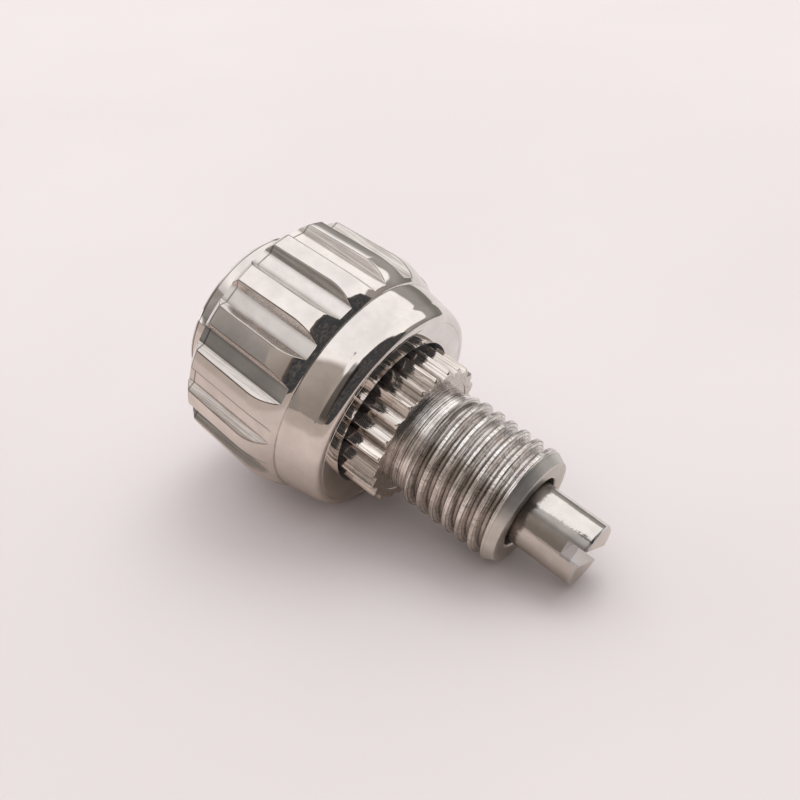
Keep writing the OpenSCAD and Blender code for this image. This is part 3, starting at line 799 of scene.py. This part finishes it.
def turned_steel():
    """Turned steel: torn and nicked thread with painted shade in its roots, a neck with turning marks, and a
    plain grey end.
    """
    mat, n, shader = material("turned_steel")
    pos = n.place()
    x, y, z = n.parts(pos)
    rad = n.from_axis(y, z)
    along = n.joined(x, rad)
    spin = n.noise(pos, 2.6, 2.0, 0.5)
    patch = n.noise(pos, 2.5, 4.0, 0.6)
    lines = n.stretched(along, (13.0, 3.5, 1.0), 3.0, 0.7)
    broad = n.stretched(along, (7.0, 2.5, 1.0), 2.0, 0.5)
    on_thread, on_neck = n.band(x, *THREADED_X), n.band(x, *NECK_X)
    end = n.ramp(x, -2.74, -2.66, 1.0, 0.0)
    # painted shade sits in the thread's root, and most of it on the lower side
    thread_root_shade = n.times(n.ramp(rad, THREAD_ROOT, THREAD_ROOT + 0.15, 1.0, 0.0), n.band(x, *THREAD_ROOT_SHADE_X))
    thread_root_shade = n.times(thread_root_shade, n.ramp(patch, 0.30, 0.62, 0.35, 1.0))
    thread_root_shade = n.times(thread_root_shade, n.ramp(n.band(n.turn(y, z), *UPPER_TURN), 0.0, 1.0, 0.9, 0.35))
    tint = n.mix(n.ramp(patch, 0.40, 0.58), (0.73, 0.685, 0.655), (0.97, 0.95, 0.94))
    tint = n.scaled(tint, n.ramp(lines, 0.38, 0.50, 0.58, 1.0))
    # turning marks round the plain neck
    marks = n.stretched(along, (15.0, 1.5, 1.0), 4.0, 0.75, (0.37, 0.0, 0.0))
    marks = n.shaken(marks, spin, 0.12)
    tint = n.mix(n.times(on_neck, n.ramp(marks, 0.455, 0.490, 0.95, 0.0)), tint, (0.17, 0.145, 0.125))
    # short nicks that run up the flanks of the thread
    direction = n.vector("DIVIDE", pos, n.joined(4.0, rad, rad))
    nicks = n.stretched(direction, (26.0, 34.0, 34.0), 3.0, 0.7)
    nicked = n.times(on_thread, n.ramp(nicks, 0.34, 0.52, 0.42, 0.0))
    tint = n.scaled(tint, n.math("SUBTRACT", 1.0, nicked))
    # torn lines left by the tool along both flanks of the thread
    wave = n.shaken(rad, spin, 0.03)
    upper, lower = (n.band(wave, start, top, top, stop) for start, top, stop in TORN_RADII)
    torn = n.times(n.math("MAXIMUM", upper, lower), on_thread, n.ramp(spin, 0.34, 0.50, 0.35, 1.0))
    tint = n.mix(torn, tint, (0.19, 0.165, 0.150))
    tint = n.mix(n.times(end, 0.7), tint, (0.66, 0.67, 0.65))
    # the painted shade's colour goes into the thread's root
    n.put(shader.inputs["Base Color"], n.mix(thread_root_shade, tint, (0.325, 0.285, 0.260)))
    n.put(shader.inputs["Metallic"], 1.0)
    rough = n.plus(n.ramp(broad, 0.3, 0.7, 0.15, 0.22), n.ramp(lines, 0.3, 0.7, 0.0, 0.08))
    n.put(shader.inputs["Roughness"], n.plus(rough, n.times(end, 0.18)))
    height = n.weighted((lines, 1.3), (patch, 0.9), (broad, 1.5),
                        (n.times(nicks, on_thread), 0.8), (n.times(marks, on_neck), 1.8))
    n.put(shader.inputs["Normal"], n.bump(height, 9 * MICRON, 0.9))
    return mat


# Steel of the stem
STEM_ROOT_SHADE_X, DULL_TURN = (-3.20, -3.08, -2.90, -2.78), (41.0, 47.0, 60.0, 66.0)


def stem_steel():
    """Steel of the stem, with a painted shade band along its side and painted shade where it leaves the
    tube.
    """
    mat, n, shader = material("stem_steel")
    pos = n.place()
    x, y, z = n.parts(pos)
    cloud = n.noise(pos, 2.1, 3.0, 0.55)
    streak = n.stretched(pos, (1.5, 9.0, 9.0), 3.0, 0.55)
    ragged = n.stretched(pos, (2.5, 5.2, 5.2), 4.0, 0.65)
    tint = n.mix(n.ramp(cloud, 0.35, 0.7), (0.70, 0.680, 0.660), (0.79, 0.765, 0.745))
    # flat faces of the slot and the end are greyer
    outward = n.dot(n.vector("MULTIPLY", pos, (0.0, 1.0, 1.0)), n.normal())
    outward = n.math("DIVIDE", outward, n.from_axis(y, z))
    tint = n.mix(n.ramp(outward, 0.70, 0.92, 1.0, 0.0), tint, (0.68, 0.70, 0.715))
    # the band's upper edge is dull, so that nothing is mirrored sharply there
    turn = n.shaken(n.turn(y, z), ragged, 9.0)
    # painted shade: a darker band along the side from about 26 to 49 degrees round the axis, full brightness
    # past 57
    shade = n.times(n.ramp(turn, 18.0, 26.0, 0.84, 0.62), n.ramp(turn, 49.0, 57.0, 1.0, 1.6))
    tint = n.scaled(tint, shade)
    dull = n.band(turn, *DULL_TURN)
    # painted shade round the stem where it leaves the tube
    root = n.band(n.shaken(x, ragged, 0.30), *STEM_ROOT_SHADE_X)
    n.put(shader.inputs["Base Color"], n.mix(root, tint, (0.205, 0.180, 0.163)))
    n.put(shader.inputs["Metallic"], 1.0)
    rough = n.weighted((cloud, 0.03), (dull, 0.32), (root, 0.25))
    n.put(shader.inputs["Roughness"], n.plus(n.ramp(streak, 0.3, 0.7, 0.06, 0.12), rough))
    n.put(shader.inputs["Normal"], n.bump(n.plus(streak, n.times(cloud, 2.2)), 4 * MICRON, 0.8))
    return mat


# Plain materials, for the pieces inside
def plain(name, color, rough, metal, scale):
    """Nearly even material; scale says how fine its noise is, per millimetre."""
    mat, n, shader = material(name)
    cloud = n.noise(n.place(), scale, 3.0, 0.55)
    dark = tuple(c * 0.8 for c in color)
    n.put(shader.inputs["Base Color"], n.mix(n.ramp(cloud, 0.3, 0.7), dark, color))
    n.put(shader.inputs["Roughness"], n.ramp(cloud, 0.3, 0.7, rough * 0.85, min(1.0, rough * 1.15)))
    n.put(shader.inputs["Metallic"], metal)
    n.put(shader.inputs["Normal"], n.bump(cloud, 4 * MICRON, 0.5))
    return mat


by_slot = {
    "polished_steel": polished(),
    "satin_steel": turned_steel(),
    "stem_steel": stem_steel(),
    "seal_rubber": plain("seal_rubber", (0.030, 0.030, 0.032), 0.5, 0.0, 4.0),
    "slip_plastic": plain("slip_plastic", (0.80, 0.79, 0.75), 0.45, 0.0, 3.0),
    "spring_steel": plain("spring_steel", (0.60, 0.59, 0.58), 0.25, 1.0, 5.0),
}
for piece in (collar, button, ring):
    dress(piece, by_slot["polished_steel"])
dress(tube, by_slot["satin_steel"])
dress(flange, tooth_steel())
dress(stem, by_slot["stem_steel"])
dress(spring, by_slot["spring_steel"])
for sub in frame["record"]["subparts"]:
    slots = frame["nodes"][sub["node"]].data.materials
    if len(slots) == 0:
        slots.append(by_slot[sub["material_slot"]])
    for i in range(len(slots)):
        slots[i] = by_slot[sub["material_slot"]]

# The paper floor
BACKGROUND = (0.88, 0.80, 0.81)
FLOOR_HALF_W = 600.0 * MM
FLOOR_GAP = 0.01 * MM              # between the pusher's lowest point and the paper
SQUARE = ((-1, -1), (1, -1), (1, 1), (-1, 1))


def flat_piece(name, points):
    """Linked object with one four-sided face."""
    mesh = bpy.data.meshes.new(name)
    mesh.from_pydata([tuple(p) for p in points], [], [(0, 1, 2, 3)])
    ob = bpy.data.objects.new(name, mesh)
    scene.collection.objects.link(ob)
    return ob


def paper():
    """Pale paper with painted shade: darker towards the camera, and darker and warmer still where it is
    mirrored; far off it fades into the background.
    """
    mat, n, shader = material("paper")
    pos = n.place()
    forward, rightward = n.dot(pos, FRONT), n.dot(pos, RIGHT)
    grain = n.noise(pos, 2.6, 4.0, 0.6)
    soft = n.noise(pos, 0.06, 2.0, 0.5)
    tint = n.mix(n.ramp(soft, 0.35, 0.65), (0.778, 0.742, 0.765), (0.803, 0.767, 0.790))
    # painted shade: the paper is a little darker towards the camera
    tint = n.scaled(tint, n.ramp(forward, -35.0, 12.0, 1.05, 0.985))
    # painted shade seen in reflections only: near the camera the paper is mirrored darker and warmer
    near = n.math("MULTIPLY_ADD", rightward, -0.4, forward)
    mirrored = n.mix(n.ramp(near, -5.0, 0.5), (0.775, 0.755, 0.760), (0.675, 0.592, 0.551))
    mirrored = n.mix(n.ramp(near, 11.0, 16.0), mirrored, (0.52, 0.455, 0.41))
    n.put(shader.inputs["Base Color"], n.mix(n.ray("Is Glossy Ray"), tint, mirrored))
    n.put(shader.inputs["Roughness"], 0.75)
    n.put(shader.inputs["Specular IOR Level"], 0.25)
    n.put(shader.inputs["Normal"], n.bump(grain, 6 * MICRON, 0.35))
    # far off, the camera sees the background's colour, so that no edge shows from a low angle
    distance = n.new("ShaderNodeVectorMath", operation="LENGTH")
    n.put(distance.inputs[0], pos)
    fade = n.times(n.ramp(distance.outputs["Value"], 30.0, 220.0), n.ray("Is Camera Ray"))
    haze = n.new("ShaderNodeEmission")
    n.put(haze.inputs["Color"], (*BACKGROUND, 1.0))
    both = n.new("ShaderNodeMixShader")
    n.put(both.inputs[0], fade)
    n.put(both.inputs[1], shader.outputs[0])
    n.put(both.inputs[2], haze.outputs[0])
    n.put(surface_of(mat), both.outputs[0])
    return mat


lowest = min(Vector(v.co).dot(UP) for ob in (collar, tube, flange, stem, button) for v in ob.data.vertices)
floor_middle = UP * (lowest - FLOOR_GAP)
floor_corners = [floor_middle + (RIGHT * a + FRONT * b) * FLOOR_HALF_W for a, b in SQUARE]
floor = flat_piece("paper_floor", floor_corners)
dress(floor, paper())


# The room, painted in the world
WALL_LIMIT, LIMIT_DROP = 44.0, 20.0     # degrees to where the ceiling starts, and how much lower behind
WALL_LOW, WALL_HIGH, WALL_LEFT = (0.30, 0.265, 0.24), (0.38, 0.34, 0.31), (0.17, 0.155, 0.145)
PATCH_LOW, PATCH_HIGH, PATCH_TURN = (0.24, 0.22, 0.20), (0.40, 0.375, 0.35), (115.0, 125.0, 172.0, 178.0)
CEILING_LOW, CEILING_HIGH, CEILING_LEFT = (1.20, 1.14, 1.10), (1.08, 1.04, 1.02), (0.78, 0.74, 0.72)
WINDOW, SILL = (1.5, 1.45, 1.45), (1.35, 1.30, 1.27)
BRIGHT_CORNER, BELOW = (1.15, 1.11, 1.09), (0.68, 0.60, 0.56)
WINDOW_TURN, WINDOW_RISE = (-168.0, -160.0, -112.0, -104.0), (10.0, 14.0, 48.0, 54.0)
SILL_TURN, SILL_RISE = (-106.0, -100.0, -80.0, -77.0), (0.5, 2.0, 13.0, 16.0)


def paint_room():
    """World with grey walls, a bright ceiling, a window and a sill. The camera sees the background only."""
    world = bpy.data.worlds.new("room")
    scene.world = world
    world.use_nodes = True
    for node in list(world.node_tree.nodes):
        world.node_tree.nodes.remove(node)
    n = Nodes(world.node_tree)
    view = n.new("ShaderNodeTexCoord").outputs["Generated"]
    rise = n.times(n.math("ARCSINE", n.dot(view, UP)), TO_DEGREES)
    # turn is 0 towards the camera and grows to the right
    turn = n.times(n.math("ARCTAN2", n.dot(view, RIGHT), n.dot(view, FRONT)), TO_DEGREES)
    behind = n.math("MAXIMUM", n.ramp(turn, 100.0, 128.0), n.ramp(turn, -150.0, -100.0, 1.0, 0.0))
    limit = n.math("SUBTRACT", WALL_LIMIT, n.times(behind, LIMIT_DROP))
    limit = n.plus(limit, n.ramp(turn, 132.0, 150.0, 0.0, 7.0))
    over = n.math("SUBTRACT", rise, limit)
    wall = n.mix(n.ramp(rise, 10.0, 40.0), WALL_LOW, WALL_HIGH)
    wall = n.mix(n.ramp(turn, -150.0, -110.0, 1.0, 0.0), wall, WALL_LEFT)
    wall = n.mix(n.band(turn, *PATCH_TURN), wall, n.mix(n.ramp(rise, 6.0, 20.0), PATCH_LOW, PATCH_HIGH))
    wall = n.mix(n.times(n.ramp(turn, 161.0, 164.0), n.ramp(rise, 18.0, 23.0)), wall, BRIGHT_CORNER)
    ceiling = n.mix(n.ramp(over, 0.0, 45.0), CEILING_LOW, CEILING_HIGH)
    left = n.times(n.band(turn, -110.0, -95.0, -62.0, -56.0), n.ramp(rise, 46.0, 60.0, 1.0, 0.0))
    ceiling = n.mix(left, ceiling, CEILING_LEFT)
    paint = n.mix(n.ramp(over, -1.5, 1.5), wall, ceiling)
    paint = n.mix(n.times(n.band(turn, *WINDOW_TURN), n.band(rise, *WINDOW_RISE)), paint, WINDOW)
    paint = n.mix(n.times(n.band(turn, *SILL_TURN), n.band(rise, *SILL_RISE)), paint, SILL)
    paint = n.mix(n.ramp(rise, -1.0, 0.5, 1.0, 0.0), paint, BELOW)
    background = n.new("ShaderNodeBackground")
    n.put(background.inputs["Color"], n.mix(n.ray("Is Camera Ray"), paint, BACKGROUND))
    n.put(background.inputs["Strength"], 1.0)
    n.put(n.new("ShaderNodeOutputWorld").inputs["Surface"], background.outputs[0])


paint_room()

# The lamp: broad and soft, behind on the right. It throws the shadow to the front left and isn't mirrored.
LAMP_SIZE, LAMP_POWER, LAMP_AWAY = 0.22, 0.275, 0.35   # metres, watts, metres
LAMP_TURN, LAMP_RISE = math.radians(140.0), math.radians(66.0)
lamp_data = bpy.data.lights.new("soft_lamp", "AREA")
lamp_data.shape = "DISK"
lamp_data.size = LAMP_SIZE
lamp_data.energy = LAMP_POWER
lamp_data.color = (1.0, 0.955, 0.95)
lamp = bpy.data.objects.new("soft_lamp", lamp_data)
scene.collection.objects.link(lamp)
level = FRONT * math.cos(LAMP_TURN) + RIGHT * math.sin(LAMP_TURN)
to_lamp = level * math.cos(LAMP_RISE) + UP * math.sin(LAMP_RISE)
lamp_axes = to_lamp.to_track_quat("Z", "Y").to_matrix()
lamp.matrix_world = Matrix.Translation(to_lamp * LAMP_AWAY) @ lamp_axes.to_4x4()
lamp.visible_camera = False
lamp.visible_glossy = False

# The camera
cam_data = bpy.data.cameras.new("photo_camera")
cam_data.lens = CAM_LENS
cam_data.sensor_width = SENSOR_W
cam_data.clip_start, cam_data.clip_end = 0.001, 10.0
cam = bpy.data.objects.new("photo_camera", cam_data)
scene.collection.objects.link(cam)
scene.camera = cam
cam_axes = Matrix((CAM_RIGHT, CAM_UP, CAM_BACK)).transposed()
cam.matrix_world = Matrix.Translation(CAM_POS) @ cam_axes.to_4x4()

# The card: what stood in front of the pusher and shows in its polish, a dark camera and its grey body.
# It lies in the plane just behind the lens and is seen in reflections only. Its places count from the lens.
CARD_LEFT, CARD_RIGHT, CARD_LOW, CARD_HIGH, CARD_BACK = -115.0, 75.0, -21.0, 48.0, 0.4
# How far right the black figure's left edge is, by height, and how high the body's top is, by place.
# Each stretch: from, to, and what it adds to the sum at its two ends.
FIGURE_EDGE = ((-21.0, -9.0, -20.0, -14.0), (-9.0, 16.0, 0.0, 13.5),
               (16.0, 30.0, 0.0, 15.5), (30.0, 48.0, 0.0, 25.0))
BODY_TOP = ((-45.0, -31.0, 21.0, 19.5), (-31.0, -15.0, 0.0, -7.0), (-15.0, -6.0, 0.0, -3.5))
BODY_LOW, BODY_HIGH = (0.335, 0.283, 0.245), (0.460, 0.400, 0.355)
SIDE_LOW, SIDE_HIGH, CORNER_GREY = (0.310, 0.280, 0.258), (0.410, 0.370, 0.345), (0.225, 0.210, 0.195)
BLACK_LOW, BLACK_HIGH, BLACK_EDGE = (0.050, 0.052, 0.056), (0.15, 0.128, 0.110), (0.17, 0.125, 0.10)


def card_point(right, up):
    """Point of the card's plane, right of and above the lens."""
    return CAM_POS + (CAM_RIGHT * right + CAM_UP * up + CAM_BACK * CARD_BACK) * MM


def card_look():
    """Glowing picture of the black figure and the grey body, clear elsewhere."""
    mat, n, shader = material("card_dark")
    mat.node_tree.nodes.remove(shader)
    pos = n.place()
    from_lens = n.vector("SUBTRACT", pos, tuple(CAM_POS / MM))
    right, up = n.dot(from_lens, CAM_RIGHT), n.dot(from_lens, CAM_UP)
    elsewhere = n.vector("ADD", pos, (300.0, 700.0, 100.0))
    marble = n.noise(pos, 0.33, 5.0, 0.7, 1.2)
    # the black figure's left edge climbs to the right; the grey body stands left of it
    edge = n.plus(*[n.line(up, *stretch) for stretch in FIGURE_EDGE])
    edge = n.shaken(edge, n.noise(elsewhere, 0.17, 4.0, 0.65), 3.0)
    past_edge = n.math("SUBTRACT", right, edge)
    figure = n.ramp(past_edge, -0.2, 0.2)
    top = n.plus(*[n.line(right, *stretch) for stretch in BODY_TOP])
    softness = n.line(right, -24.0, -8.0, 2.8, 2.0)
    covered = n.ramp(n.math("DIVIDE", n.math("SUBTRACT", top, up), softness), -1.0, 1.0)
    bottom = n.ramp(right, -55.0, -24.0, -13.0, -20.5)
    above = n.ramp(n.math("SUBTRACT", up, bottom), -0.15, 0.15)
    inside = n.times(n.math("MAXIMUM", covered, figure), above)
    grey = n.mix(n.ramp(up, -10.0, 8.0), BODY_LOW, BODY_HIGH)
    side_grey = n.mix(n.ramp(up, 7.0, 18.0), SIDE_LOW, SIDE_HIGH)
    grey = n.mix(n.ramp(right, -42.0, -34.0, 1.0, 0.0), grey, side_grey)
    corner = n.times(n.ramp(right, -66.0, -60.0, 1.0, 0.0), n.ramp(up, -2.0, 2.0, 1.0, 0.0))
    body = n.mix(corner, grey, CORNER_GREY)
    black = n.mix(n.ramp(marble, 0.46, 0.68), BLACK_LOW, BLACK_HIGH)
    black = n.mix(n.ramp(past_edge, 0.6, 2.6, 1.0, 0.0), black, BLACK_EDGE)
    glow = n.new("ShaderNodeEmission")
    n.put(glow.inputs["Color"], n.mix(figure, body, black))
    clear = n.new("ShaderNodeBsdfTransparent")
    both = n.new("ShaderNodeMixShader")
    n.put(both.inputs[0], inside)
    n.put(both.inputs[1], clear.outputs[0])
    n.put(both.inputs[2], glow.outputs[0])
    n.put(surface_of(mat), both.outputs[0])
    return mat


card = flat_piece("front_card", [card_point(CARD_LEFT, CARD_LOW), card_point(CARD_RIGHT, CARD_LOW),
                                 card_point(CARD_RIGHT, CARD_HIGH), card_point(CARD_LEFT, CARD_HIGH)])
card.visible_camera = False
card.visible_diffuse = False
card.visible_shadow = False
dress(card, card_look())

scene.view_settings.view_transform = "Standard"
scene.view_settings.look = "None"
